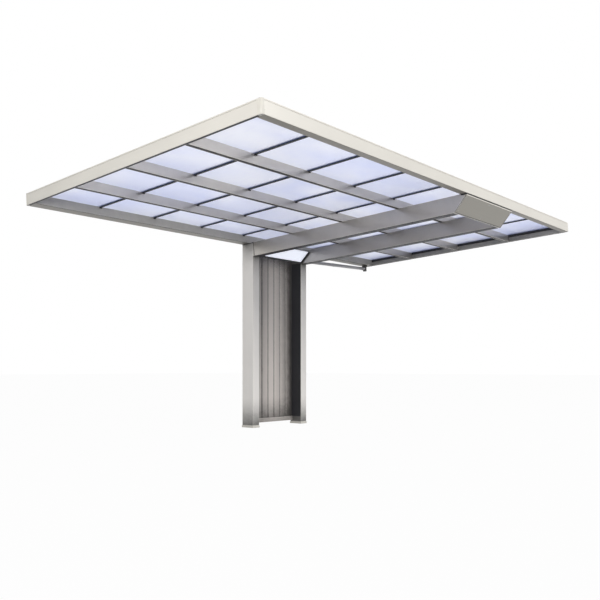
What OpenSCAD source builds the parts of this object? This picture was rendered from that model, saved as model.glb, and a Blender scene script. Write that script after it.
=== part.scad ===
// One-side cantilever carport. Two posts stand close together behind the parking
// bay. Each carries a beam that reaches forward over it, and the beams carry a
// flat roof of frosted sheets in a slim frame, which falls toward the posts.
//
// X runs along the roof, Y from the open front edge back to the posts, Z is up.
// The origin is the middle of the first post's foot, at ground level.
//
// Roof pieces are drawn in the roof's own frame: a runs along X from the left
// end, u runs down the fall from the front edge, w is square to the roof and
// starts at the underside of the roof frame.

/* [Roof] */
// Length of the roof along X
roof_l = 5100; // [4200:10:6200]
// Depth of the roof down its fall, from the front edge to the back of the posts
roof_d = 2850; // [2300:10:3450]
// Fall of the roof toward the posts, in degrees
roof_fall = 3; // [1:0.5:5]
// Height of the frame's underside above the ground, at the front edge
front_h = 2250; // [1850:10:2750]
// Number of bays that the glazing bars divide the roof into
bays = 8; // [5:1:9]
// Number of purlins under the sheets
purlins = 3; // [2:1:4]
// Distance from either end of the roof to the middle of the nearest glazing bar
end_bay = 678; // [400:1:800]
// Distance from the front edge to the middle of the first purlin
purlin_first = 736; // [400:1:900]
// Distance from the middle of the last purlin to the gutter
purlin_last = 627; // [300:1:800]

/* [Frame profiles] */
// Height of the roof frame's members
frame_h = 103; // [90:1:130]
// Width of the front member
front_w = 66; // [50:1:90]
// Thickness of the members at the two ends
end_w = 28; // [22:1:40]
// Width of the gutter, which is the frame's member over the posts
gutter_w = 120; // [100:1:165]
// Wall of the gutter
gutter_wall = 4; // [3:0.5:6]
// Length of a corner cap beside the end members
corner_l = 40; // [30:1:60]
// Radius of a corner cap's outer edge
corner_r = 16; // [6:1:20]
// Height of the trim lip along the top of the frame
lip_h = 9; // [6:1:12]
// Depth and height of the shadow groove under the trim lip
lip_groove = 3; // [2:0.5:5]

/* [Sheets] */
// Thickness of a sheet
sheet_t = 3; // [2:0.5:6]
// How far a sheet's edge sits on the frame
sheet_seat = 18; // [10:1:25]
// Room around a sheet's edge
sheet_gap = 2; // [1:0.5:4]

/* [Bars and purlins] */
// Height of a purlin, on which the sheets lie
purlin_h = 79; // [60:1:88]
// Width of a purlin
purlin_w = 44; // [25:1:60]
// Width of a glazing bar's lower flange
bar_w = 16; // [14:1:40]
// Height of that flange, which hangs below the sheets between the purlins
bar_h = 8; // [6:1:30]
// Thickness of a glazing bar's web
bar_web = 4; // [3:0.5:8]
// Width of a glazing bar's cap above the sheets
bar_cap_w = 24; // [20:1:60]
// Height of a glazing bar's cap
bar_cap_h = 7; // [4:1:10]
// Width of the black seals under the sheets' edges at the two ends
seal_w = 10; // [6:1:20]
// Height of the black seals
seal_h = 18; // [12:1:40]

/* [Posts and beams] */
// Width of a post and of a beam, along X
post_w = 100; // [80:1:140]
// Depth of a post, front to back
post_d = 170; // [130:1:220]
// Distance over both posts, from outer side to outer side
post_span = 935; // [700:5:1200]
// Reach of the roof past the first post
left_reach = 2650; // [1500:10:3200]
// Depth of a beam
beam_h = 155; // [120:1:200]
// Distance from the roof's front edge to the beams' end panel
nose_setback = 3; // [0:1:80]
// How far the end panel slants back over the beams' depth
nose_slant = 130; // [0:1:200]
// Thickness of the end panel, measured along the roof
nose_t = 14; // [6:1:30]
// Height of the gap between the roof's frame and the end panel
nose_gap = 12; // [4:1:30]

/* [Light cover and wall] */
// How far the light cover at the posts' head reaches forward
cover_run = 140; // [80:5:250]
// How far the light cover rises
cover_rise = 128; // [60:1:150]
// Thickness of the light cover
cover_t = 8; // [4:1:15]
// Width of the trims along the light cover's sides and foot
cover_trim = 28; // [20:1:40]
// Pitch of the wall's boards
board_pitch = 105; // [70:5:200]
// Thickness of the boards
board_t = 14; // [10:1:30]
// Depth of the groove between two boards
board_groove = 5; // [2:0.5:6]
// Width of the groove between two boards
board_groove_w = 10; // [4:0.5:14]
// Depth of the rails above and below the boards
rail_d = 32; // [20:1:60]
// Height of the rails
rail_h = 50; // [30:1:80]
// Gap between the ground and the bottom rail
wall_gap = 40; // [20:5:120]

/* [Drain] */
// Outer diameter of the drain pipe
pipe_d = 40; // [24:1:50]
// Distance from the roof's right end to the outlet
outlet_inset = 128; // [70:1:300]
// Outer diameter of the outlet under the gutter
outlet_d = 50; // [44:1:66]
// Height of the outlet
outlet_h = 80; // [60:1:110]
// Diameter of the collar at the outlet's head
collar_d = 72; // [60:1:90]
// Height of the collar
collar_h = 22; // [10:1:26]
// Distance from the frame's underside to the middle of the pipe, at the outlet
pipe_drop = 47; // [45:1:60]
// Fall of the drain pipe between the outlet and the post
pipe_fall = 42; // [10:1:80]
// Length of the sleeve that takes the pipe at the post
sleeve_l = 24; // [14:1:50]
// Wall of that sleeve
sleeve_wall = 5; // [3:0.5:8]
// Room between the pipe and the pieces that it enters
pipe_gap = 0.3; // [0.2:0.1:1]

/* [Hidden] */
$fn = 48;
cut = 1;
purlin_names = [for (i = [1:purlins]) str("purlin_", i)];
bar_names = [for (i = [1:bays - 1]) str("glazing_bar_", i)];
sheet_names = [for (i = [1:bays]) str("roof_sheet_", i)];

aluminium = [0.90, 0.88, 0.84];
rail_grey = [0.62, 0.61, 0.60];
frosted = [0.87, 0.88, 0.94];
black = [0.10, 0.10, 0.11];

// The roof frame's origin, in Y: its rear underside edge lies over the posts' backs.
roof_y0 = post_d / 2 - roof_d * cos(roof_fall);
// The left end of the roof, in X
roof_x0 = -left_reach - post_w / 2;
// Places of the members along and down the roof
post_1_a = left_reach;
post_2_a = left_reach + post_span - post_w;
gutter_u = roof_d - gutter_w;
bay_gap = (roof_l - 2 * end_bay) / (bays - 2);
purlin_gap = (gutter_u - purlin_last - purlin_first) / (purlins - 1);
sheet_w0 = purlin_h;
sheet_u0 = front_w - sheet_seat;
sheet_u1 = gutter_u + sheet_seat + gutter_wall;
rest_a = end_w - sheet_seat;
clear_x = post_span - 2 * post_w;
// Share of the slanted cover that its foot trim takes, and its thickness along Y
cover_foot = cover_trim / norm([cover_run, cover_rise]);
cover_back = cover_t * norm([cover_run, cover_rise]) / cover_rise;
lip_w0 = frame_h - lip_h;

// Height of the frame's underside above the ground, at a place along Y
function under(y) = front_h - (y - roof_y0) * tan(roof_fall);
// A point of the roof frame, turned into Y and Z
function roof_yz(u, w) = [
    roof_y0 + u * cos(roof_fall) + w * sin(roof_fall),
    front_h - u * sin(roof_fall) + w * cos(roof_fall)];
// Place along a of the bar after a bay, counted from the left end
function bar_a(i) = end_bay + (i - 1) * bay_gap;
// Place along u of a purlin's middle
function purlin_u(i) = purlin_first + (i - 1) * purlin_gap;

// Ends along u of the clear lengths between the front member, the purlins and the gutter
clear_ends = concat(
    [front_w],
    [for (i = [1:purlins]) each [purlin_u(i) - purlin_w / 2, purlin_u(i) + purlin_w / 2]],
    [gutter_u]);

// Puts children drawn in the roof's frame where the roof is
module on_roof() {
    translate([roof_x0, roof_y0, front_h])
        rotate([-roof_fall, 0, 0])
            children();
}

// Extrudes an outline drawn in u and w along a
module along_a(a0, a1) {
    translate([a0, 0, 0])
        rotate([90, 0, 90])
            linear_extrude(a1 - a0) children();
}

// Extrudes an outline drawn in a and w along u
module along_u(u0, u1) {
    translate([0, u1, 0])
        rotate([90, 0, 0])
            linear_extrude(u1 - u0) children();
}

// Extrudes an outline drawn in Y and Z along X
module along_x(x0, x1) {
    translate([x0, 0, 0])
        rotate([90, 0, 90])
            linear_extrude(x1 - x0) children();
}

// ---- posts, beams and what closes them ----

module post(x) {
    half = post_d / 2;
    color(aluminium)
        along_x(x - post_w / 2, x + post_w / 2)
            polygon([[-half, 0], [half, 0], [half, under(half)], [-half, under(-half)]]);
}

module beam(x) {
    face = -post_d / 2;
    deep = beam_h / cos(roof_fall);
    color(rail_grey)
        along_x(x - post_w / 2, x + post_w / 2)
            polygon([
                roof_yz(nose_setback + nose_t, 0),
                roof_yz(nose_setback + nose_t, -nose_gap),
                roof_yz(nose_setback + nose_t + nose_slant, -beam_h),
                [face, under(face) - deep],
                [face, under(face)]]);
}

module beam_end_panel() {
    color(rail_grey)
        along_x(-post_w / 2, post_span - post_w / 2)
            polygon([
                roof_yz(nose_setback, -nose_gap),
                roof_yz(nose_setback + nose_slant, -beam_h),
                roof_yz(nose_setback + nose_slant + nose_t, -beam_h),
                roof_yz(nose_setback + nose_t, -nose_gap)]);
}

// A point on the slanted cover's face, in Y and Z, from 0 at its foot to 1 at its head
function on_cover(share) =
    [-post_d / 2, under(-post_d / 2) - beam_h / cos(roof_fall)] + share * [-cover_run, cover_rise];

// Outline of the cover above its foot trim
module cover_outline() {
    polygon([
        on_cover(cover_foot),
        on_cover(1),
        on_cover(1) + [cover_back, 0],
        on_cover(cover_foot) + [cover_back, 0]]);
}

// Outline of the foot trim, which ends flush with the posts' faces
module cover_foot_outline() {
    polygon([
        on_cover(0),
        on_cover(cover_foot),
        on_cover(cover_foot) + [cover_back, 0],
        on_cover(0) + [0, cover_back * cover_rise / cover_run]]);
}

module light_cover() {
    color(frosted)
        along_x(post_w / 2 + cover_trim, post_w / 2 + clear_x - cover_trim)
            cover_outline();
}

module cover_side_trim(x) {
    color(black)
        along_x(x, x + cover_trim) {
            cover_outline();
            cover_foot_outline();
        }
}

module cover_foot_trim() {
    color(black)
        along_x(post_w / 2 + cover_trim, post_w / 2 + clear_x - cover_trim)
            cover_foot_outline();
}

// ---- the wall between the posts ----

wall_x0 = post_w / 2;
wall_back = post_d / 2;
board_z0 = wall_gap + rail_h;
board_z1 = under(wall_back) - rail_h;
board_count = max(2, round(clear_x / board_pitch));
board_real = clear_x / board_count;

module wall_boards() {
    half = board_groove_w / 2;
    joints = [for (i = [1:board_count - 1]) i * board_real];
    front = [for (x = joints) each [[x - half, 0], [x, board_groove], [x + half, 0]]];
    color(rail_grey)
        translate([wall_x0, wall_back - board_t, board_z0])
            linear_extrude(board_z1 - board_z0)
                polygon(concat([[0, board_t], [0, 0]], front, [[clear_x, 0], [clear_x, board_t]]));
}

module wall_top_rail() {
    color(rail_grey)
        along_x(wall_x0, wall_x0 + clear_x)
            polygon([
                [wall_back - rail_d, board_z1],
                [wall_back, board_z1],
                [wall_back, under(wall_back)],
                [wall_back - rail_d, under(wall_back - rail_d)]]);
}

module wall_bottom_rail() {
    color(rail_grey)
        translate([wall_x0, wall_back - rail_d, wall_gap])
            cube([clear_x, rail_d, rail_h]);
}

// ---- the roof's frame ----

// Outline of a frame member that is wide below the sheets and has an upstand
// beside their edge. The shadow groove runs under the trim lip.
module frame_outline(wide) {
    upstand = wide - sheet_seat - sheet_gap;
    polygon([
        [0, 0],
        [wide, 0],
        [wide, sheet_w0],
        [upstand, sheet_w0],
        [upstand, frame_h],
        [0, frame_h],
        [0, lip_w0],
        [lip_groove, lip_w0],
        [lip_groove, lip_w0 - lip_groove],
        [0, lip_w0 - lip_groove]]);
}

module front_frame() {
    color(aluminium)
        on_roof()
            along_a(end_w, roof_l - end_w) frame_outline(front_w);
}

module end_frame() {
    color(aluminium)
        along_u(corner_l, roof_d - corner_l) frame_outline(end_w);
}

module left_frame() {
    on_roof() end_frame();
}

module right_frame() {
    on_roof() translate([roof_l, 0, 0]) mirror([1, 0, 0]) end_frame();
}

module gutter() {
    color(aluminium)
        on_roof()
            difference() {
                along_a(end_w, roof_l - end_w)
                    polygon([
                        [gutter_u, 0],
                        [roof_d, 0],
                        [roof_d, frame_h],
                        [roof_d - gutter_wall, frame_h],
                        [roof_d - gutter_wall, gutter_wall],
                        [gutter_u + gutter_wall, gutter_wall],
                        [gutter_u + gutter_wall, sheet_w0],
                        [gutter_u, sheet_w0]]);
                translate([outlet_a, outlet_u, -cut])
                    cylinder(d = pipe_d, h = gutter_wall + 2 * cut);
            }
}

// A corner cap, drawn at the front left corner
module corner_cap() {
    color(aluminium)
        difference() {
            cube([end_w, corner_l, frame_h]);
            difference() {
                translate([-cut, -cut, -cut])
                    cube([corner_r + cut, corner_r + cut, frame_h + 2 * cut]);
                translate([corner_r, corner_r, -2 * cut])
                    cylinder(r = corner_r, h = frame_h + 4 * cut);
            }
        }
}

module corner_front_left() {
    on_roof() corner_cap();
}

module corner_front_right() {
    on_roof() translate([roof_l, 0, 0]) mirror([1, 0, 0]) corner_cap();
}

module corner_rear_left() {
    on_roof() translate([0, roof_d, 0]) mirror([0, 1, 0]) corner_cap();
}

module corner_rear_right() {
    on_roof() translate([roof_l, roof_d, 0]) rotate([0, 0, 180]) corner_cap();
}

// ---- what carries the sheets ----

module purlin(i) {
    color(aluminium)
        on_roof()
            translate([end_w, purlin_u(i) - purlin_w / 2, 0])
                cube([roof_l - 2 * end_w, purlin_w, purlin_h]);
}

// Strips whose tops lie against the sheets' underside, one in each clear length
module clear_strips(wide, high) {
    for (i = [0:purlins])
        translate([0, clear_ends[2 * i], sheet_w0 - high])
            cube([wide, clear_ends[2 * i + 1] - clear_ends[2 * i], high]);
}

// A glazing bar: a flange under the sheets' edges, a web between them and a cap
module glazing_bar(i) {
    color(black)
        on_roof()
            translate([bar_a(i), 0, 0]) {
                translate([-bar_w / 2, 0, 0])
                    clear_strips(bar_w, bar_h);
                translate([-bar_web / 2, sheet_u0, sheet_w0])
                    cube([bar_web, sheet_u1 - sheet_u0, sheet_t]);
                translate([-bar_cap_w / 2, sheet_u0, sheet_w0 + sheet_t])
                    cube([bar_cap_w, sheet_u1 - sheet_u0, bar_cap_h]);
            }
}

// The left edge of a sheet lies on the end frame or beside the last bar's web
function sheet_a0(i) = i == 1 ? rest_a : bar_a(i - 1) + bar_web / 2 + sheet_gap;
function sheet_a1(i) = i == bays ? roof_l - rest_a : bar_a(i) - bar_web / 2 - sheet_gap;

module roof_sheet(i) {
    color(frosted)
        on_roof()
            translate([sheet_a0(i), sheet_u0, sheet_w0])
                cube([sheet_a1(i) - sheet_a0(i), sheet_u1 - sheet_u0, sheet_t]);
}

// Black strips under the sheets' edges at an end of the roof
module end_seal() {
    color(black)
        translate([end_w, 0, 0])
            clear_strips(seal_w, seal_h);
}

module left_seal() {
    on_roof() end_seal();
}

module right_seal() {
    on_roof() translate([roof_l, 0, 0]) mirror([1, 0, 0]) end_seal();
}

// ---- the drain ----

outlet_a = roof_l - outlet_inset;
outlet_u = gutter_u + gutter_w / 2;
post_2_face = post_2_a + post_w;
pipe_end_w = -pipe_drop - pipe_fall;
pipe_run = outlet_a - post_2_face;
drain_deep = pipe_drop + pipe_fall + pipe_d;
pipe_tilt = atan(pipe_fall / pipe_run);

// A round bar along the pipe's line, from the post's side to the outlet
module pipe_line(d, run) {
    translate([post_2_face, outlet_u, pipe_end_w])
        rotate([0, 90 - pipe_tilt, 0])
            cylinder(d = d, h = run);
}

module drain_outlet() {
    color(black)
        on_roof()
            difference() {
                translate([outlet_a, outlet_u, 0]) {
                    translate([0, 0, -outlet_h])
                        cylinder(d = outlet_d, h = outlet_h);
                    translate([0, 0, -collar_h])
                        cylinder(d = collar_d, h = collar_h);
                }
                translate([outlet_a, outlet_u, -outlet_h + gutter_wall])
                    cylinder(d = pipe_d, h = outlet_h);
            }
}

module drain_pipe() {
    color(black)
        on_roof()
            difference() {
                intersection() {
                    pipe_line(pipe_d, pipe_run);
                    translate([post_2_face, 0, -drain_deep])
                        cube([pipe_run, roof_d, drain_deep]);
                }
                translate([outlet_a, outlet_u, -drain_deep])
                    cylinder(d = outlet_d + 2 * pipe_gap, h = drain_deep);
            }
}

module pipe_sleeve() {
    color(black)
        on_roof()
            difference() {
                translate([post_2_face, outlet_u, pipe_end_w])
                    rotate([0, 90, 0])
                        cylinder(d = pipe_d + 2 * sleeve_wall, h = sleeve_l);
                pipe_line(pipe_d + 2 * pipe_gap, pipe_run);
            }
}

post(0);  // post_1
post(post_span - post_w);  // post_2
beam(0);  // main_beam_1
beam(post_span - post_w);  // main_beam_2
beam_end_panel();
light_cover();
cover_side_trim(wall_x0);  // cover_trim_1
cover_side_trim(wall_x0 + clear_x - cover_trim);  // cover_trim_2
cover_foot_trim();
wall_boards();
wall_top_rail();
wall_bottom_rail();
front_frame();
left_frame();
right_frame();
gutter();
corner_front_left();
corner_front_right();
corner_rear_left();
corner_rear_right();
for (i = [1:purlins])
    purlin(i);
for (i = [1:bays - 1])
    glazing_bar(i);
for (i = [1:bays])
    roof_sheet(i);
left_seal();
right_seal();
drain_outlet();
drain_pipe();
pipe_sleeve();
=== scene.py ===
import math

import bmesh
import bpy
from mathutils import Matrix, Vector


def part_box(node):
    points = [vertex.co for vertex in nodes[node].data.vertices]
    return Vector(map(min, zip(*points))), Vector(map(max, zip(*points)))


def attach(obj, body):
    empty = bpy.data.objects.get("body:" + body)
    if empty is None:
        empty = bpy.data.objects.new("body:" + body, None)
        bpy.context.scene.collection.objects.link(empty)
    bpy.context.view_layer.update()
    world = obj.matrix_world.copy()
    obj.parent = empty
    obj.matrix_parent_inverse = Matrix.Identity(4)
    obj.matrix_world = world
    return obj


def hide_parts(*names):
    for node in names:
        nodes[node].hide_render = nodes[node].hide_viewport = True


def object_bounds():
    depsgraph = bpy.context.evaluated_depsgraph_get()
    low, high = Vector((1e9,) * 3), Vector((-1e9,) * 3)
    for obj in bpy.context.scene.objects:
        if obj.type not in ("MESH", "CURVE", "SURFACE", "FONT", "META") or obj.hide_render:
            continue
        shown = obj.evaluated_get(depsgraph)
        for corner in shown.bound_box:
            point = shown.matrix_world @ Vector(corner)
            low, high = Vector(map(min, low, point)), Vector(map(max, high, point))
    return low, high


# The looks of a one-side cantilever carport, in metres, in the frame of its CAD model.
# Pieces of the roof are made in the roof's own frame: a runs along X from the left end,
# u runs down the fall from the front edge, and w is square to the roof and starts at the
# underside of the roof's frame.

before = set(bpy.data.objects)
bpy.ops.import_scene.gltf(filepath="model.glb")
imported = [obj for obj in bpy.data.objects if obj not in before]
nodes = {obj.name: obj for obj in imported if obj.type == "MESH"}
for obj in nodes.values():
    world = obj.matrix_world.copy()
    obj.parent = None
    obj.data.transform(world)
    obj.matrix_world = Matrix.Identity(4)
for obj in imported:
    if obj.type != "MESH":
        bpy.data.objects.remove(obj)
cad_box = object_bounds()

# ---- driving sizes ----

ROOF_FALL = math.radians(3)
EDGE = 0.0009  # rounding of an extrusion's edges
EDGE_SEGMENTS = 2
SMOOTH_UNDER = math.radians(32)  # edges flatter than this are shaded smooth
SUNK = 0.0003  # how far a fitting sits into the face that it is on

STRIP_THICK = 0.0015  # dark strips of painted shade in the undersides of purlins and beams
PURLIN_STRIP_EDGE = 0.007
BEAM_STRIP_EDGE = 0.006
BORDER = 0.009  # raised border of the beams' end panel
BORDER_THICK = 0.0016
PROUD = 0.001  # how far packers and gaskets stand out of what they are between
JOINT_GASKET = 0.008  # gasket between a beam's end and its post
HEAD_SHADE_BAND = 0.006  # black band of painted shade between a post's head and the gutter
GASKET_WIDE = 0.012  # black beads on top of the sheets' edges
GASKET_HIGH = 0.004
END_GASKET_HIGH = 0.014  # the beads at the two ends fill up to the trim
SCREW = 0.0045  # radius of a pan head
BOLT = 0.0095  # radius of a hexagon head, over its corners
SHADE_CLIP_LONG = 0.010  # black clip of painted shade under each glazing bar, in front of what the bar lands on
SHADE_CLIP_HIGH = 0.007
SHADE_CLIP_SPARE = 0.005  # how much wider than the bar it is, each side
GUTTER_LINE = 0.008  # dark line of painted shade along the gutter's underside
SOFFIT_EDGE = 0.005  # how far the strips of painted shade under the frame stay in from its faces
CLEAT_LEG = 0.040
CLEAT_THICK = 0.003
CLEAT_WIDE = 0.076
CAP_SCREW_PITCH = 0.27
SEAL_LIP_LOW = 0.052  # the lips of the side seals hang down to this w
SEAL_LIP_THICK = 0.005
SHADE_REACH = 0.35  # how far off other parts still paint shade on the metal
SKIRT_HIGH = 0.028  # trim around a post's foot
SKIRT_OUT = 0.005
BOARD_PITCH = 0.105
BOARD_GROOVE = 0.009  # half the width of a groove, and its depth
BOARD_CROWN = 0.0012
BOARD_STEPS = 8
SHADE_PANEL_EDGE = 0.004  # how far the second post's dark panel of painted shade stays in from the post and the boards
SHADE_PANEL_BELOW_HEAD = 0.09  # and how far under the boards' tops it ends
PIPE_RIBS = ((0.045, 0.004), (0.5, 0.009), (0.955, 0.006))  # share of the pipe's length, half width
GUTTER_FLOOR = 0.004  # thickness of the gutter's floor
STRAINER_RADIUS = 0.026
STRAINER_TALL = 0.034
STRAINER_RIBS = 12
STRAINER_THIN = 0.0014  # thickness of a rib
STRAINER_DEEP = 0.003  # depth of a rib, from its outer to its inner curve
RIB_ANGLES = (0, 22, 45, 68, 88)  # points of a rib's quarter curve, in degrees

FLOOR_SIZE = 60
FLOOR_DROP = 0.001  # the floor lies this far under the ground, so that it touches nothing
FLOOR_WHITE = 0.975  # share of the floor that shows plain white
SKY_STRENGTH = 0.30
FRONT_LIGHT_SPOT = (2.0, -12.0, 6.5)
FRONT_LIGHT_SIZE = 5.0
FRONT_LIGHT_POWER = 730
LEFT_LIGHT_SPOT = (-8.6, -4.3, 1.7)
LEFT_LIGHT_TARGET = (0, -1, 1.7)
LEFT_LIGHT_SIZE = 2.5
LEFT_LIGHT_POWER = 312

CAMERA_FROM_CORNER = Vector((-3.193, -3.058, -1.560))
CAMERA_TURN = math.radians(-49.276)
CAMERA_LENS = 43.15
CAMERA_SHIFT = 0.1121


# Local X, Y and Z of an outline that is pushed along the roof's length: Z along a, X along u.
ALONG_ROOF = Matrix(((0, 0, 1, 0), (1, 0, 0, 0), (0, 1, 0, 0), (0, 0, 0, 1)))


# ---- the roof's frame ----

def roof_frame():
    """The roof's frame: its origin is the lowest outer corner of the front left cap."""
    turn = Matrix.Rotation(-ROOF_FALL, 4, "X")
    points = [turn.inverted() @ v.co for v in nodes["corner_front_left"].data.vertices]
    corner = Vector([min(p[k] for p in points) for k in range(3)])
    return turn @ Matrix.Translation(corner)


ROOF = roof_frame()
TO_ROOF = ROOF.inverted()


def roof_points(name):
    """A CAD node's points, as a, u and w."""
    return [TO_ROOF @ v.co for v in nodes[name].data.vertices]


def roof_box(name):
    """The lowest and highest corner of a CAD node, as a, u and w."""
    points = roof_points(name)
    return tuple(Vector([pick(p[k] for p in points) for k in range(3)]) for pick in (min, max))


def roof_under(y):
    """The place u where the underside of the roof's frame is over y."""
    return (y - ROOF.translation.y) / math.cos(ROOF_FALL)


def numbered(stem):
    """The CAD nodes of a numbered family, in order."""
    return sorted((n for n in nodes if n.startswith(stem + "_")), key=lambda n: int(n.split("_")[-1]))


def clear_runs(start, end, blocks, gap=0.0):
    """What is left of start to end once the blocks, widened by gap, are taken out."""
    runs = []
    for low, high in sorted(blocks):
        if high + gap > start and low - gap < end:
            runs.append((start, low - gap))
            start = high + gap
    runs.append((start, end))
    return [(low, high) for low, high in runs if high - low > 0.01]


# ---- patterns and materials ----

def colour(red, green, blue):
    """A colour given as 0 to 255, made linear."""
    parts = [v / 255 for v in (red, green, blue)]
    return [v / 12.92 if v < 0.04045 else ((v + 0.055) / 1.055) ** 2.4 for v in parts] + [1.0]


def scaled(tone, by):
    """A linear colour made lighter or darker."""
    return [min(1.0, v * by) for v in tone[:3]] + [1.0]


class Surface:
    """A procedural material on one Principled shader."""

    def __init__(self, name, **constants):
        self.material = bpy.data.materials.new(name)
        self.material.use_nodes = True
        self.tree = self.material.node_tree
        self.shader = self.tree.nodes["Principled BSDF"]
        for socket, value in constants.items():
            self.shader.inputs[socket.replace("_", " ")].default_value = value

    def node(self, kind, inputs, **settings):
        made = self.tree.nodes.new(kind)
        for key, value in settings.items():
            setattr(made, key, value)
        for key, value in inputs.items():
            if isinstance(value, bpy.types.NodeSocket):
                self.tree.links.new(value, made.inputs[key])
            else:
                made.inputs[key].default_value = value
        return made

    def noise(self, size, stretch=(1, 1, 1), detail=3.0, distortion=0.0):
        """Noise with features of about size, each axis longer by stretch; 0 to 1."""
        where = self.node("ShaderNodeTexCoord", {}).outputs["Object"]
        turned = self.node("ShaderNodeMapping", {"Vector": where, "Rotation": (ROOF_FALL, 0, 0)})
        scale = [1 / (size * s) for s in stretch]
        placed = self.node("ShaderNodeMapping", {"Vector": turned.outputs[0], "Scale": scale})
        made = self.node("ShaderNodeTexNoise", {
            "Vector": placed.outputs[0],
            "Scale": 1.0,
            "Detail": detail,
            "Distortion": distortion})
        return self.spread(made.outputs["Fac"], 0.3, 0.7, 0.0, 1.0)

    def down_the_roof(self, most):
        """A share that grows from nothing at the roof's front to most at the gutter."""
        where = self.node("ShaderNodeTexCoord", {}).outputs["Object"]
        place = self.node("ShaderNodeSeparateXYZ", {"Vector": where})
        return self.spread(place.outputs["Y"], ROOF.translation.y, 0.0, 0.0, most)

    def shut_in(self, most):
        """A share of painted shade that grows to most where other parts shut the surface in."""
        open_sky = self.node("ShaderNodeAmbientOcclusion", {"Distance": SHADE_REACH}, samples=8)
        share = self.spread(open_sky.outputs["AO"], 0.45, 1.0, most, 0.0)
        patchy = self.spread(self.noise(0.07, detail=4.0), 0, 1, 0.84, 1.08)
        return self.maths("MULTIPLY", share, patchy)

    def spread(self, value, low, high, to_low, to_high):
        """A value moved from one range to another, and held there."""
        return self.node("ShaderNodeMapRange", {
            "Value": value,
            "From Min": low,
            "From Max": high,
            "To Min": to_low,
            "To Max": to_high}).outputs["Result"]

    def maths(self, operation, first, second):
        made = self.tree.nodes.new("ShaderNodeMath")
        made.operation = operation
        for socket, value in zip(made.inputs, (first, second)):
            if isinstance(value, bpy.types.NodeSocket):
                self.tree.links.new(value, socket)
            else:
                socket.default_value = value
        return made.outputs[0]

    def mixed(self, share, first, second):
        """A colour between two, by share."""
        made = self.tree.nodes.new("ShaderNodeMix")
        made.data_type = "RGBA"
        for socket, value in ((made.inputs[0], share), (made.inputs[6], first), (made.inputs[7], second)):
            if isinstance(value, bpy.types.NodeSocket):
                self.tree.links.new(value, socket)
            else:
                socket.default_value = value
        return made.outputs[2]

    def drive(self, socket, value):
        self.tree.links.new(value, self.shader.inputs[socket])

    def bump(self, height, depth, strength=1.0):
        made = self.node("ShaderNodeBump", {"Height": height, "Distance": depth, "Strength": strength})
        self.drive("Normal", made.outputs["Normal"])


ALONG = {"X": (160, 1, 1), "Y": (1, 160, 1), "Z": (1, 1, 160)}


def drawn_metal(name, tone, run, rough=0.30, metal=0.85, painted_shade=0.65, shade_downhill=0.0):
    """Satin anodised aluminium: die lines along the extrusion, drifting tone and darkening.

    The darkening is painted shade. It grows where other parts shut the metal
    in and, where a downhill share is given, down the roof's fall.
    """
    surface = Surface(name, Metallic=metal)
    drift = surface.noise(0.55, detail=2.0)
    lines = surface.noise(0.005, ALONG[run], detail=3.0)
    patches = surface.noise(0.30, [1 + s / 80 for s in ALONG[run]], detail=4.0, distortion=0.4)
    dust = surface.noise(0.015, [1 + s / 12 for s in ALONG[run]], detail=5.0)
    clean = surface.mixed(drift, scaled(tone, 0.965), scaled(tone, 1.025))
    lined = surface.mixed(surface.spread(lines, 0, 1, 0.0, 0.22), clean, scaled(tone, 0.90))
    dulled = surface.spread(surface.maths("MULTIPLY", dust, patches), 0.3, 1.0, 0.0, 0.16)
    dust_and_shade = surface.mixed(dulled, lined, scaled(tone, 0.82))
    # painted shade: darker down the roof's fall, towards the gutter
    if shade_downhill:
        dust_and_shade = surface.mixed(surface.down_the_roof(shade_downhill), dust_and_shade, scaled(tone, 0.12))
    # painted shade, darkest where other parts shut the metal in
    surface.drive("Base Color", surface.mixed(surface.shut_in(painted_shade), dust_and_shade, scaled(tone, 0.12)))
    from_patches = surface.maths("MULTIPLY", patches, 0.6)
    from_lines = surface.maths("MULTIPLY", lines, 0.4)
    uneven = surface.maths("ADD", from_patches, from_lines)
    surface.drive("Roughness", surface.spread(uneven, 0, 1, rough - 0.03, rough + 0.05))
    surface.bump(lines, 0.00005, 0.4)
    return surface.material


def worn_edge(name, tone):
    """The rounded edge of an extrusion: brighter, and rubbed in places."""
    surface = Surface(name, Metallic=0.6)
    rubbed = surface.noise(0.02, detail=6.0)
    surface.drive("Base Color", surface.mixed(rubbed, scaled(tone, 0.92), scaled(tone, 1.08)))
    surface.drive("Roughness", surface.spread(rubbed, 0, 1, 0.42, 0.26))
    surface.bump(rubbed, 0.0001, 0.4)
    return surface.material


def moulded_plastic(name, tone, rough=0.45):
    """Moulded plastic with a fine spark-eroded grain."""
    surface = Surface(name)
    grain = surface.noise(0.0016, detail=2.0)
    drift = surface.noise(0.12, detail=3.0)
    surface.drive("Base Color", surface.mixed(drift, scaled(tone, 0.94), scaled(tone, 1.04)))
    surface.drive("Roughness", surface.spread(grain, 0, 1, rough - 0.06, rough + 0.08))
    surface.bump(grain, 0.00008, 0.6)
    return surface.material


def rubber(name, tone):
    """Black rubber with a little bloom on it."""
    surface = Surface(name)
    bloom = surface.noise(0.05, detail=6.0, distortion=0.8)
    grain = surface.noise(0.002, detail=3.0)
    surface.drive("Base Color", surface.mixed(bloom, tone, scaled(tone, 1.35)))
    surface.drive("Roughness", surface.spread(bloom, 0, 1, 0.42, 0.68))
    surface.bump(grain, 0.0001, 0.5)
    return surface.material


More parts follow.
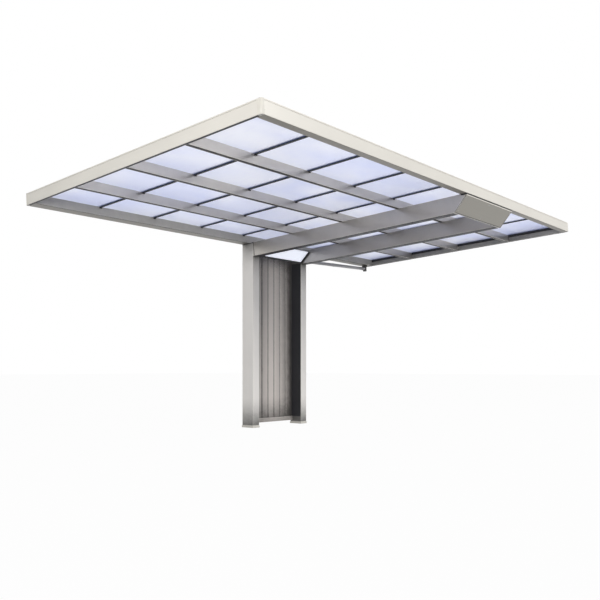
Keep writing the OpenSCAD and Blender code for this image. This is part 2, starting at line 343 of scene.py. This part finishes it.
def frosted_sheet():
    """Frosted polycarbonate: soft cloudy tone, fine matt grain, a trace of dust.

    Its faint blue glow stands for skylight scattered inside the sheet.
    """
    surface = Surface(
        "frosted_sheet",
        Transmission_Weight=1.0,
        IOR=1.15,
        Emission_Strength=0.035,
        Emission_Color=colour(130, 160, 255))
    clouds = surface.noise(0.5, (1.8, 1, 1), detail=2.0, distortion=0.5)
    dust = surface.noise(0.03, (1, 3, 1), detail=6.0)
    grain = surface.noise(0.0025, detail=2.0)
    clear = surface.mixed(clouds, colour(226, 231, 252), colour(250, 251, 255))
    dusted = surface.spread(dust, 0.45, 1.0, 0.0, 0.16)
    surface.drive("Base Color", surface.mixed(dusted, clear, colour(222, 220, 226)))
    surface.drive("Roughness", surface.spread(grain, 0, 1, 0.30, 0.42))
    surface.bump(grain, 0.00006, 0.5)
    return surface.material


def light_diffuser():
    """The white diffuser of the light at the posts' heads. Its glow is painted light that keeps it bright
    white under the roof.
    """
    surface = Surface("light_diffuser", Emission_Strength=0.70, Emission_Color=colour(236, 240, 252))
    haze = surface.noise(0.10, detail=4.0)
    prisms = surface.noise(0.004, detail=1.0)
    surface.drive("Base Color", surface.mixed(haze, colour(226, 231, 243), colour(240, 243, 251)))
    surface.drive("Roughness", surface.spread(haze, 0, 1, 0.22, 0.34))
    surface.bump(prisms, 0.0002, 0.5)
    return surface.material


def screw_steel():
    surface = Surface("screw_steel", Metallic=0.9)
    patina = surface.noise(0.006, detail=5.0)
    surface.drive("Base Color", surface.mixed(patina, colour(150, 150, 152), colour(198, 198, 200)))
    surface.drive("Roughness", surface.spread(patina, 0, 1, 0.28, 0.45))
    surface.bump(patina, 0.00005, 0.4)
    return surface.material


FRAME_TONE = colour(226, 222, 213)
# The posts' tone is lighter than the frame's: painted light, so that the posts read as lit.
POST_LIT_TONE = colour(250, 246, 240)
# The beams' tone is darker than the frame's: painted shade under the roof.
BEAM_SHADED_TONE = colour(194, 190, 185)
PURLIN_TONE = colour(234, 229, 221)
PANEL_TONE = colour(150, 147, 140)
BOARD_TONE = colour(224, 216, 209)
# The soffits' tone is darker than the frame's: painted shade on the undersides.
SOFFIT_SHADE_TONE = colour(168, 163, 155)

# Every metal below darkens with painted shade where other parts shut it in, by the default share or the one
# given; the purlins also darken with painted shade down the roof's fall.
frame_along_x = drawn_metal("frame_metal_x", FRAME_TONE, "X", rough=0.36, metal=0.08, painted_shade=0.42)
frame_along_y = drawn_metal("frame_metal_y", FRAME_TONE, "Y", rough=0.36, metal=0.08)
post_metal = drawn_metal("post_metal", POST_LIT_TONE, "Z", rough=0.36, metal=0.08, painted_shade=1.25)
beam_metal = drawn_metal("beam_metal", BEAM_SHADED_TONE, "Y", painted_shade=0.4)
purlin_metal = drawn_metal("purlin_metal", PURLIN_TONE, "X", metal=0.65, painted_shade=0.2, shade_downhill=0.3)
panel_metal = drawn_metal("panel_metal", PANEL_TONE, "X")
rail_metal = drawn_metal("rail_metal", BOARD_TONE, "X", rough=0.42, metal=0.1)
soffit_shade_metal = drawn_metal("soffit_shade_metal", SOFFIT_SHADE_TONE, "X", rough=0.42, metal=0.1)
board_metal = drawn_metal("board_metal", BOARD_TONE, "Z", rough=0.42, metal=0.1, painted_shade=1.35)
pale_edge = worn_edge("pale_edge", FRAME_TONE)
grey_edge = worn_edge("grey_edge", PURLIN_TONE)
cap_plastic = moulded_plastic("cap_plastic", colour(222, 218, 208))
drain_plastic = moulded_plastic("drain_plastic", colour(214, 212, 212), rough=0.35)
outlet_plastic = moulded_plastic("outlet_plastic", colour(74, 70, 68), rough=0.4)
black_rubber = rubber("black_rubber", colour(30, 30, 33))
bar_rubber = rubber("bar_rubber", colour(54, 55, 56))
# Strips and panels of painted shade under the purlins, beams, side frames and gutter, and in the second
# post.
painted_shade_strip = rubber("painted_shade_strip", colour(36, 36, 40))
sheet_plastic = frosted_sheet()
diffuser_plastic = light_diffuser()
steel = screw_steel()


# ---- making pieces ----

def shade(mesh):
    """Smooth faces, with the edges that should stay crisp marked sharp."""
    for face in mesh.faces:
        face.smooth = True
    for edge in mesh.edges:
        edge.smooth = edge.calc_face_angle(0) < SMOOTH_UNDER


def piece(name, mesh, surface, bevel=0.0):
    """A piece of the carport, from a bmesh in the CAD model's frame."""
    bmesh.ops.recalc_face_normals(mesh, faces=mesh.faces)
    shade(mesh)
    data = bpy.data.meshes.new(name)
    mesh.to_mesh(data)
    mesh.free()
    made = bpy.data.objects.new(name, data)
    bpy.context.scene.collection.objects.link(made)
    data.materials.append(surface)
    if bevel:
        rounded(made, bevel)
    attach(made, "root")
    return made


def rounded(made, width, edge_slot=-1):
    bevel = made.modifiers.new("rounded", "BEVEL")
    bevel.width = width
    bevel.segments = EDGE_SEGMENTS
    bevel.limit_method = "ANGLE"
    bevel.angle_limit = SMOOTH_UNDER
    bevel.material = edge_slot
    bevel.harden_normals = True


def box_into(mesh, low, high, place=Matrix()):
    """Adds a box between two corners, put in place."""
    low, high = Vector(low), Vector(high)
    size = Matrix.Diagonal((*(high - low), 1))
    middle = Matrix.Translation((low + high) / 2)
    bmesh.ops.create_cube(mesh, size=1, matrix=place @ middle @ size)


def prism_into(mesh, outline, length, place=Matrix()):
    """Adds an outline in local X and Y, pushed along local Z."""
    ends = [[mesh.verts.new(place @ Vector((x, y, z))) for x, y in outline] for z in (0, length)]
    mesh.faces.new(ends[0])
    mesh.faces.new(ends[1])
    for i, corner in enumerate(ends[0]):
        j = (i + 1) % len(outline)
        mesh.faces.new((corner, ends[0][j], ends[1][j], ends[1][i]))


def turned_into(mesh, outline, place, steps=20):
    """Adds a body turned about the local Z of place, from points of radius and height."""
    rings = []
    for radius, height in outline:
        count = steps if radius else 1
        angles = [2 * math.pi * i / steps for i in range(count)]
        ring = [Vector((radius * math.cos(t), radius * math.sin(t), height)) for t in angles]
        rings.append([mesh.verts.new(place @ p) for p in ring])
    for low, high in zip(rings, rings[1:]):
        for i in range(steps):
            j = (i + 1) % steps
            corners = (low[i % len(low)], low[j % len(low)], high[j % len(high)], high[i % len(high)])
            mesh.faces.new(list(dict.fromkeys(corners)))


def facing(place, axis):
    """A place whose local Z points along the given axis of it."""
    return place @ Vector((0, 0, 1)).rotation_difference(Vector(axis)).to_matrix().to_4x4()


def on_roof(a, u, w, axis=(0, 0, 1)):
    return facing(ROOF @ Matrix.Translation((a, u, w)), axis)


def on_ground(x, y, z, axis=(0, 0, 1)):
    return facing(Matrix.Translation((x, y, z)), axis)


def screw_into(mesh, place):
    """A pan head with a socket in it."""
    r = SCREW
    outline = [(0, -SUNK), (r, -SUNK), (r, 0.2 * r), (0.86 * r, 0.45 * r), (0.6 * r, 0.6 * r),
               (0.42 * r, 0.62 * r), (0.38 * r, 0.25 * r), (0, 0.22 * r)]
    turned_into(mesh, outline, place, steps=16)


def bolt_into(mesh, place):
    """A hexagon head on a washer."""
    r = BOLT
    washer = [(0, -SUNK), (1.25 * r, -SUNK), (1.3 * r, 0.08 * r), (1.25 * r, 0.18 * r), (0, 0.18 * r)]
    head = [(0, 0.18 * r), (r, 0.18 * r), (r, 0.62 * r), (0.84 * r, 0.76 * r), (0, 0.76 * r)]
    turned_into(mesh, washer, place, steps=24)
    turned_into(mesh, head, place, steps=6)


# ---- the CAD nodes' finishes ----

FINISHES = {
    "post": (post_metal, pale_edge),
    "main_beam": (beam_metal, grey_edge),
    "beam_end_panel": (panel_metal, grey_edge),
    "light_cover": (diffuser_plastic, diffuser_plastic),
    "cover_": (black_rubber, black_rubber),
    "wall": (rail_metal, grey_edge),
    "front_frame": (frame_along_x, pale_edge),
    "gutter": (frame_along_x, pale_edge),
    "left_frame": (frame_along_y, pale_edge),
    "right_frame": (frame_along_y, pale_edge),
    "corner": (cap_plastic, cap_plastic),
    "purlin": (purlin_metal, grey_edge),
    "glazing_bar": (bar_rubber, bar_rubber),
    "roof_sheet": (sheet_plastic, sheet_plastic),
    "left_seal": (black_rubber, black_rubber),
    "right_seal": (black_rubber, black_rubber),
    "drain_outlet": (outlet_plastic, outlet_plastic),
    "drain_pipe": (drain_plastic, drain_plastic),
    "pipe_sleeve": (outlet_plastic, outlet_plastic),
}


def finish_node(name, made):
    """Gives a CAD node its materials and rounded edges; its own mesh stays as it is."""
    surface, edge = next(pair for stem, pair in FINISHES.items() if name.startswith(stem))
    made.data.materials.clear()
    made.data.materials.append(surface)
    made.data.materials.append(edge)
    weld = made.modifiers.new("weld", "WELD")
    weld.merge_threshold = 1e-5
    flat = made.modifiers.new("flat", "DECIMATE")
    flat.decimate_type = "DISSOLVE"
    flat.angle_limit = math.radians(0.5)
    rounded(made, EDGE, edge_slot=1)


for node_name, node_object in nodes.items():
    finish_node(node_name, node_object)


# ---- details of the roof ----

BEAM_SPANS = [(roof_box(n)[0].x, roof_box(n)[1].x) for n in numbered("main_beam")]
BEAM_NOSE = roof_box("main_beam_1")[0].y


def purlin_strips():
    """Dark strips of painted shade in the purlins' undersides, left out over the beams."""
    for name in numbered("purlin"):
        low, high = roof_box(name)
        mesh = bmesh.new()
        for start, end in clear_runs(low.x, high.x, BEAM_SPANS, gap=0.002):
            box_into(
                mesh,
                (start, low.y + PURLIN_STRIP_EDGE, low.z - STRIP_THICK),
                (end, high.y - PURLIN_STRIP_EDGE, low.z + SUNK),
                ROOF)
        piece(name + "_strip", mesh, painted_shade_strip, bevel=0.0006)


def beam_strips():
    """Dark strips of painted shade in the beams' undersides."""
    nose = roof_box("beam_end_panel")[1].y
    for name in numbered("main_beam"):
        low, high = roof_box(name)
        end = high.y - (high.z - low.z) * math.tan(ROOF_FALL)
        mesh = bmesh.new()
        box_into(
            mesh,
            (low.x + BEAM_STRIP_EDGE, nose + BEAM_STRIP_EDGE, low.z - STRIP_THICK),
            (high.x - BEAM_STRIP_EDGE, end - BEAM_STRIP_EDGE, low.z + SUNK),
            ROOF)
        piece(name + "_strip", mesh, painted_shade_strip, bevel=0.0006)


def cleats():
    """Angle cleats that hold the front member and the purlins on the beams, from behind."""
    for name in ["front_frame"] + numbered("purlin"):
        back = roof_box(name)[1].y
        metal = bmesh.new()
        fixings = bmesh.new()
        for start, end in BEAM_SPANS:
            middle = (start + end) / 2
            thick = CLEAT_THICK
            outline = [(0, 0), (CLEAT_LEG, 0), (CLEAT_LEG, thick),
                       (thick, thick), (thick, CLEAT_LEG), (0, CLEAT_LEG)]
            corner = ROOF @ Matrix.Translation((middle - CLEAT_WIDE / 2, back, 0)) @ ALONG_ROOF
            prism_into(metal, outline, CLEAT_WIDE, corner)
            for side in (-1, 1):
                a = middle + side * CLEAT_WIDE / 4
                bolt_into(fixings, on_roof(a, back + CLEAT_LEG * 0.55, thick))
                bolt_into(fixings, on_roof(a, back + thick, CLEAT_LEG * 0.6, (0, 1, 0)))
        piece(name + "_cleats", metal, rail_metal, bevel=0.0005)
        piece(name + "_cleat_bolts", fixings, steel)


def cap_screws():
    """Screws along the tops of the glazing bars."""
    for name in numbered("glazing_bar"):
        low, high = roof_box(name)
        count = round((high.y - low.y) / CAP_SCREW_PITCH)
        pitch = (high.y - low.y) / count
        mesh = bmesh.new()
        for i in range(count):
            screw_into(mesh, on_roof((low.x + high.x) / 2, low.y + (i + 0.5) * pitch, high.z))
        piece(name + "_screws", mesh, steel)


def bar_shade_clips():
    """A black clip of painted shade under each glazing bar, in front of every purlin and of the gutter."""
    fronts = [roof_box(n)[0].y for n in numbered("purlin") + ["gutter"]]
    for name in numbered("glazing_bar"):
        points = roof_points(name)
        under = min(p.z for p in points)
        web = [p.x for p in points if p.z < under + SUNK]
        low, high = min(web) - SHADE_CLIP_SPARE, max(web) + SHADE_CLIP_SPARE
        if not clear_runs(low, high, BEAM_SPANS):
            continue
        mesh = bmesh.new()
        for front in fronts:
            box_into(mesh, (low, front - SHADE_CLIP_LONG, under - SHADE_CLIP_HIGH), (high, front, under + SUNK), ROOF)
        piece(name + "_shade_clips", mesh, black_rubber, bevel=0.001)


def frame_soffits():
    """Strips of painted shade under the front member, between the corners and the beams, and under both
    sides.
    """
    low, high = roof_box("front_frame")
    panel = roof_box("beam_end_panel")
    blocks = BEAM_SPANS + [(panel[0].x, panel[1].x)]
    mesh = bmesh.new()
    for start, end in clear_runs(low.x, high.x, blocks, gap=0.002):
        box_into(
            mesh,
            (start, low.y + SOFFIT_EDGE, low.z - STRIP_THICK),
            (end, high.y - SUNK, low.z + SUNK),
            ROOF)
    piece("front_frame_soffit", mesh, soffit_shade_metal, bevel=0.0005)
    for name in ("left_frame", "right_frame"):
        low, high = roof_box(name)
        mesh = bmesh.new()
        box_into(
            mesh,
            (low.x + SOFFIT_EDGE, low.y, low.z - STRIP_THICK),
            (high.x - SOFFIT_EDGE, high.y, low.z + SUNK),
            ROOF)
        piece(name + "_soffit", mesh, painted_shade_strip, bevel=0.0005)


def gutter_soffit():
    """The gutter's underside in painted shade: a dark line along its front edge, and a strip behind it."""
    low, high = roof_box("gutter")
    below = [roof_box(n) for n in numbered("post") + ["drain_outlet"]]
    blocks = [(box[0].x, box[1].x) for box in below]
    line = bmesh.new()
    strip = bmesh.new()
    for start, end in clear_runs(low.x, high.x, blocks, gap=0.002):
        box_into(
            line,
            (start, low.y + PROUD, low.z - PROUD),
            (end, low.y + GUTTER_LINE, low.z + SUNK),
            ROOF)
        box_into(
            strip,
            (start, low.y + GUTTER_LINE + PROUD, low.z - PROUD),
            (end, high.y - SOFFIT_EDGE, low.z + SUNK),
            ROOF)
    piece("gutter_line", line, painted_shade_strip, bevel=0.0003)
    piece("gutter_soffit", strip, soffit_shade_metal, bevel=0.0003)


def sheet_gaskets():
    """Black beads on the sheets' outer edges, left out at the glazing bars."""
    sheets = [roof_box(n) for n in numbered("roof_sheet")]
    bars = [(roof_box(n)[0].x, roof_box(n)[1].x) for n in numbered("glazing_bar")]
    low, high = sheets[0][0], sheets[-1][1]
    front = bmesh.new()
    for start, end in clear_runs(low.x + GASKET_WIDE, high.x - GASKET_WIDE, bars, gap=0.001):
        box_into(
            front,
            (start, low.y, high.z - SUNK),
            (end, low.y + GASKET_WIDE, high.z + GASKET_HIGH),
            ROOF)
    piece("front_gasket", front, black_rubber, bevel=0.0015)
    for name, start in (("left_gasket", low.x), ("right_gasket", high.x - GASKET_WIDE)):
        mesh = bmesh.new()
        box_into(
            mesh,
            (start, low.y, high.z - SUNK),
            (start + GASKET_WIDE, high.y, high.z + END_GASKET_HIGH),
            ROOF)
        piece(name, mesh, black_rubber, bevel=0.0015)


def seal_lips():
    """The lips of the side seals, which hang down the frame's inner faces between the purlins."""
    blocks = [(roof_box(n)[0].y, roof_box(n)[1].y) for n in numbered("purlin")]
    for name, side in (("left_seal", 0), ("right_seal", 1)):
        seal = roof_box(name)
        face = seal[side].x
        inner = face + SEAL_LIP_THICK * (1 - 2 * side)
        mesh = bmesh.new()
        for start, end in clear_runs(seal[0].y, seal[1].y, blocks, gap=0.001):
            box_into(
                mesh,
                (min(face, inner), start, SEAL_LIP_LOW),
                (max(face, inner), end, seal[0].z + SUNK),
                ROOF)
        piece(name + "_lip", mesh, black_rubber, bevel=0.0006)


def corner_screws():
    """Two screws under each corner cap."""
    for name in sorted(n for n in nodes if n.startswith("corner_")):
        low, high = roof_box(name)
        mesh = bmesh.new()
        for share in (0.3, 0.75):
            u = low.y + (high.y - low.y) * (share if "front" in name else 1 - share)
            screw_into(mesh, on_roof((low.x + high.x) / 2, u, low.z, (0, 0, -1)))
        piece(name + "_screws", mesh, steel)


def end_panel_face():
    """The end panel's front face: its foot corner, its own axes, its height and its width."""
    points = roof_points("beam_end_panel")
    low, high = roof_box("beam_end_panel")
    head_u = min(p.y for p in points if p.z > high.z - 0.001)
    foot_u = min(p.y for p in points if p.z < low.z + 0.001)
    up = Vector((0, head_u - foot_u, high.z - low.z))
    along = Vector((1, 0, 0))
    out = along.cross(up.normalized())
    axes = Matrix((along, up.normalized(), out)).transposed().to_4x4()
    return ROOF @ Matrix.Translation((low.x, foot_u, low.z)) @ axes, up.length, high.x - low.x


def end_panel_border():
    """A slim raised border along the head and the sides of the end panel, and its screws."""
    face, tall, wide = end_panel_face()
    thick = BORDER_THICK
    head = bmesh.new()
    box_into(head, (0, tall - BORDER, -SUNK), (wide, tall, thick), face)
    piece("end_panel_head_border", head, pale_edge, bevel=0.0005)
    sides = bmesh.new()
    for x in (0, wide - BORDER):
        box_into(sides, (x, 0, -SUNK), (x + BORDER, tall - BORDER - thick, thick), face)
    piece("end_panel_side_borders", sides, panel_metal, bevel=0.0005)
    foot = bmesh.new()
    box_into(foot, (BORDER, 0, -SUNK), (wide - BORDER, BORDER / 2, thick), face)
    piece("end_panel_foot_strip", foot, black_rubber, bevel=0.0005)
    screws = bmesh.new()
    for x in (3 * BORDER, wide / 2, wide - 3 * BORDER):
        for y in (3 * BORDER, tall - 3 * BORDER):
            screw_into(screws, face @ Matrix.Translation((x, y, 0)))
    piece("end_panel_screws", screws, steel)


def front_packers():
    """Black packing between the frame and the end panel, and beside it on each beam."""
    low, high = roof_box("beam_end_panel")
    front_back = roof_box("front_frame")[1].y
    mesh = bmesh.new()
    box_into(mesh, (low.x + PROUD, low.y + 3 * PROUD, high.z - SUNK), (high.x - PROUD, BEAM_NOSE, 0), ROOF)
    for start, end in BEAM_SPANS:
        box_into(mesh, (start - PROUD, BEAM_NOSE, high.z), (end + PROUD, front_back, 0), ROOF)
    piece("front_packers", mesh, black_rubber, bevel=0.0004)


# ---- details of the posts, the wall and the drain ----

def wall_planks():
    """The wall's boards: slightly crowned faces with a groove at each joint, front and back."""
    low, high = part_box("wall_boards")
    count = round((high.x - low.x) / BOARD_PITCH)
    pitch = (high.x - low.x) / count
    half = BOARD_GROOVE
    front, back = [], []
    for i in range(count):
        start = i * pitch
        if i:
            front.append((start, BOARD_GROOVE))
            back.append((start, high.y - low.y - BOARD_GROOVE / 2))
        for k in range(BOARD_STEPS + 1):
            share = k / BOARD_STEPS
            crown = BOARD_CROWN * (2 * share - 1) ** 2
            front.append((start + half + (pitch - 2 * half) * share, crown))
        back.append((start + half, high.y - low.y))
        back.append((start + pitch - half, high.y - low.y))
    outline = [(0, BOARD_CROWN)] + front + [(high.x - low.x, BOARD_CROWN), (high.x - low.x, high.y - low.y)]
    outline += back[::-1] + [(0, high.y - low.y)]
    mesh = bmesh.new()
    prism_into(mesh, outline, high.z - low.z, Matrix.Translation(low))
    planks = piece("wall_planks", mesh, board_metal)
    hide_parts("wall_boards")


def rail_screws():
    """Screws through the wall's rails, one beside each post and one at each board."""
    for name in ("wall_top_rail", "wall_bottom_rail"):
        low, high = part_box(name)
        count = round((high.x - low.x) / BOARD_PITCH)
        pitch = (high.x - low.x) / count
        mesh = bmesh.new()
        for i in range(count):
            x = low.x + (i + 0.5) * pitch
            screw_into(mesh, on_ground(x, low.y, low.z + SCREW * 5, (0, -1, 0)))
        piece(name + "_screws", mesh, steel)


def shade_panel_in_post_2():
    """A dark panel of painted shade in the second post's inner side, in front of the boards."""
    post_low, post_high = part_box("post_2")
    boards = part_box("wall_boards")
    mesh = bmesh.new()
    box_into(
        mesh,
        (post_low.x - STRIP_THICK, post_low.y + SHADE_PANEL_EDGE, boards[0].z),
        (post_low.x + SUNK, boards[0].y - SHADE_PANEL_EDGE, boards[1].z - SHADE_PANEL_BELOW_HEAD))
    piece("post_2_shade_panel", mesh, painted_shade_strip, bevel=0.0006)


def post_shade_bands_and_gaskets():
    """A black band of painted shade at each post's head, and black gaskets where the beam meets the post's
    front.
    """
    heads = bmesh.new()
    joints = bmesh.new()
    for post, beam in zip(numbered("post"), numbered("main_beam")):
        beam_low, beam_high = roof_box(beam)
        front, back = [roof_under(corner.y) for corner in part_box(post)]
        box_into(
            heads,
            (beam_low.x - PROUD, front - PROUD, -HEAD_SHADE_BAND),
            (beam_high.x + PROUD, back, 0),
            ROOF)
        lean = beam_low.z * math.tan(ROOF_FALL)
        outline = [(front, beam_high.z), (front - JOINT_GASKET, beam_high.z),
                   (front - JOINT_GASKET + lean, beam_low.z), (front + lean, beam_low.z)]
        wide = beam_high.x - beam_low.x + 2 * PROUD
        place = ROOF @ Matrix.Translation((beam_low.x - PROUD, 0, 0)) @ ALONG_ROOF
        prism_into(joints, outline, wide, place)
    piece("post_head_shade_bands", heads, black_rubber, bevel=0.0004)
    piece("beam_joint_gaskets", joints, black_rubber, bevel=0.0004)


def post_skirts():
    """A sloped trim around each post's foot."""
    for name in numbered("post"):
        low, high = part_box(name)
        rings = []
        profile = ((SKIRT_OUT, 0), (SKIRT_OUT, SKIRT_HIGH * 0.6), (0.0008, SKIRT_HIGH),
                   (-SUNK, SKIRT_HIGH), (-SUNK, 0))
        for out, z in profile:
            corners = [(low.x - out, low.y - out), (high.x + out, low.y - out),
                       (high.x + out, high.y + out), (low.x - out, high.y + out)]
            rings.append([Vector((x, y, z)) for x, y in corners])
        mesh = bmesh.new()
        loops = [[mesh.verts.new(p) for p in ring] for ring in rings]
        for inner, outer in zip(loops, loops[1:] + loops[:1]):
            for i in range(4):
                j = (i + 1) % 4
                mesh.faces.new((inner[i], inner[j], outer[j], outer[i]))
        piece(name + "_skirt", mesh, cap_plastic, bevel=0.0006)


def pipe_line():
    """Both ends of the drain pipe's middle line, and its radius, in the roof's frame."""
    low, high = roof_box("drain_pipe")
    radius = (high.y - low.y) / 2
    u = (low.y + high.y) / 2
    return Vector((low.x, u, low.z + radius)), Vector((high.x, u, high.z - radius)), radius


def pipe_fittings():
    """A joint in the middle of the drain pipe, and a rib round each end of it."""
    start, end, radius = pipe_line()
    run = end - start
    mesh = bmesh.new()
    for share, half in PIPE_RIBS:
        spot = start + run * share
        ring = [(radius * 0.98, -half), (radius * 1.09, -half), (radius * 1.12, 0),
                (radius * 1.09, half), (radius * 0.98, half), (radius * 0.98, -half)]
        turned_into(mesh, ring, on_roof(*spot, run.normalized()), steps=32)
    piece("pipe_fittings", mesh, drain_plastic, bevel=0.0004)


def strainer():
    """A domed strainer over the outlet, in the gutter."""
    low, high = roof_box("drain_outlet")
    floor_w = roof_box("gutter")[0].z + GUTTER_FLOOR
    a, u = (low.x + high.x) / 2, (low.y + high.y) / 2
    radius, tall = STRAINER_RADIUS, STRAINER_TALL
    mesh = bmesh.new()
    ring = [(radius - 0.004, 0), (radius + 0.002, 0), (radius + 0.001, 0.003),
            (radius - 0.003, 0.003), (radius - 0.004, 0)]
    turned_into(mesh, ring, on_roof(a, u, floor_w), steps=32)
    cap = [(0, tall - 0.002), (0.007, tall - 0.002), (0.008, tall),
           (0.005, tall + 0.0015), (0, tall + 0.002)]
    turned_into(mesh, cap, on_roof(a, u, floor_w), steps=24)
    steps = [math.radians(t) for t in RIB_ANGLES]
    outer = [(radius * math.cos(t), tall * math.sin(t)) for t in steps]
    inner_radius, inner_tall = radius - STRAINER_DEEP, tall - STRAINER_DEEP
    inner = [(inner_radius * math.cos(t), inner_tall * math.sin(t)) for t in reversed(steps)]
    upright = Matrix(((1, 0, 0, 0), (0, 0, 1, -STRAINER_THIN / 2), (0, 1, 0, 0), (0, 0, 0, 1)))
    for i in range(STRAINER_RIBS):
        turn = Matrix.Rotation(2 * math.pi * i / STRAINER_RIBS, 4, "Z")
        prism_into(mesh, outer + inner, STRAINER_THIN, on_roof(a, u, floor_w) @ turn @ upright)
    piece("gutter_strainer", mesh, outlet_plastic)


purlin_strips()
beam_strips()
cleats()
cap_screws()
bar_shade_clips()
frame_soffits()
gutter_soffit()
sheet_gaskets()
seal_lips()
corner_screws()
end_panel_border()
front_packers()
wall_planks()
rail_screws()
shade_panel_in_post_2()
post_shade_bands_and_gaskets()
post_skirts()
pipe_fittings()
strainer()


# ---- stage, light and camera ----

def two_into(tree, operation, first, second):
    made = tree.nodes.new("ShaderNodeMath")
    made.operation = operation
    tree.links.new(first, made.inputs[0])
    tree.links.new(second, made.inputs[1])
    return made.outputs[0]


def is_seen(tree):
    """1 for rays that show the background: from the camera, a reflection or a pane.

    A ray that has left a surface as diffuse light isn't one, so panes light nothing
    more than the sky behind them does.
    """
    path = tree.nodes.new("ShaderNodeLightPath")
    total = path.outputs["Is Camera Ray"]
    for name in ("Is Glossy Ray", "Is Transmission Ray"):
        total = two_into(tree, "MAXIMUM", total, path.outputs[name])
    diffuse = tree.nodes.new("ShaderNodeMath")
    diffuse.operation = "LESS_THAN"
    diffuse.inputs[1].default_value = 0.5
    tree.links.new(path.outputs["Diffuse Depth"], diffuse.inputs[0])
    return two_into(tree, "MULTIPLY", total, diffuse.outputs[0])


def stage_world():
    """White where it is seen, and an even soft sky as light."""
    world = bpy.data.worlds.new("studio")
    bpy.context.scene.world = world
    world.use_nodes = True
    tree = world.node_tree
    lit = tree.nodes["Background"]
    lit.inputs["Color"].default_value = (0.97, 0.98, 1.0, 1)
    lit.inputs["Strength"].default_value = SKY_STRENGTH
    seen = tree.nodes.new("ShaderNodeBackground")
    seen.inputs["Color"].default_value = (1, 1, 1, 1)
    seen.inputs["Strength"].default_value = 1.0
    mix = tree.nodes.new("ShaderNodeMixShader")
    tree.links.new(is_seen(tree), mix.inputs["Fac"])
    tree.links.new(lit.outputs[0], mix.inputs[1])
    tree.links.new(seen.outputs[0], mix.inputs[2])
    tree.links.new(mix.outputs[0], tree.nodes["World Output"].inputs["Surface"])


def stage_floor():
    """A pale floor that shows white, with the object's shadow kept faint on it."""
    mesh = bmesh.new()
    bmesh.ops.create_grid(mesh, x_segments=2, y_segments=2, size=FLOOR_SIZE)
    data = bpy.data.meshes.new("floor")
    mesh.to_mesh(data)
    mesh.free()
    floor = bpy.data.objects.new("floor", data)
    floor.location.z = -FLOOR_DROP
    bpy.context.scene.collection.objects.link(floor)
    surface = Surface("floor_surface", Roughness=0.9)
    surface.shader.inputs["Base Color"].default_value = (0.40, 0.40, 0.40, 1)
    white = surface.node("ShaderNodeEmission", {"Color": (1, 1, 1, 1), "Strength": 1.0})
    mix = surface.tree.nodes.new("ShaderNodeMixShader")
    share = surface.maths("MULTIPLY", is_seen(surface.tree), FLOOR_WHITE)
    surface.tree.links.new(share, mix.inputs["Fac"])
    surface.tree.links.new(surface.shader.outputs[0], mix.inputs[1])
    surface.tree.links.new(white.outputs[0], mix.inputs[2])
    surface.tree.links.new(mix.outputs[0], surface.tree.nodes["Material Output"].inputs["Surface"])
    data.materials.append(surface.material)


def soft_lamp(name, spot, target, size, power):
    light = bpy.data.lights.new(name, "AREA")
    light.shape = "DISK"
    light.size = size
    light.energy = power
    lamp = bpy.data.objects.new(name, light)
    lamp.location = spot
    lamp.visible_transmission = False
    lamp.rotation_euler = (Vector(target) - Vector(spot)).to_track_quat("-Z", "Y").to_euler()
    bpy.context.scene.collection.objects.link(lamp)


def stage_camera():
    """The photograph's view: level, from low in front of the left end."""
    data = bpy.data.cameras.new("camera")
    data.lens = CAMERA_LENS
    data.shift_y = CAMERA_SHIFT
    camera = bpy.data.objects.new("camera", data)
    camera.location = ROOF.translation + CAMERA_FROM_CORNER
    camera.rotation_euler = (math.radians(90), 0, CAMERA_TURN)
    bpy.context.scene.collection.objects.link(camera)
    bpy.context.scene.camera = camera


middle = (cad_box[0] + cad_box[1]) / 2
stage_world()
stage_floor()
soft_lamp("front_light", FRONT_LIGHT_SPOT, middle, FRONT_LIGHT_SIZE, FRONT_LIGHT_POWER)
soft_lamp("left_light", LEFT_LIGHT_SPOT, LEFT_LIGHT_TARGET, LEFT_LIGHT_SIZE, LEFT_LIGHT_POWER)
stage_camera()
bpy.context.scene.view_settings.view_transform = "Standard"
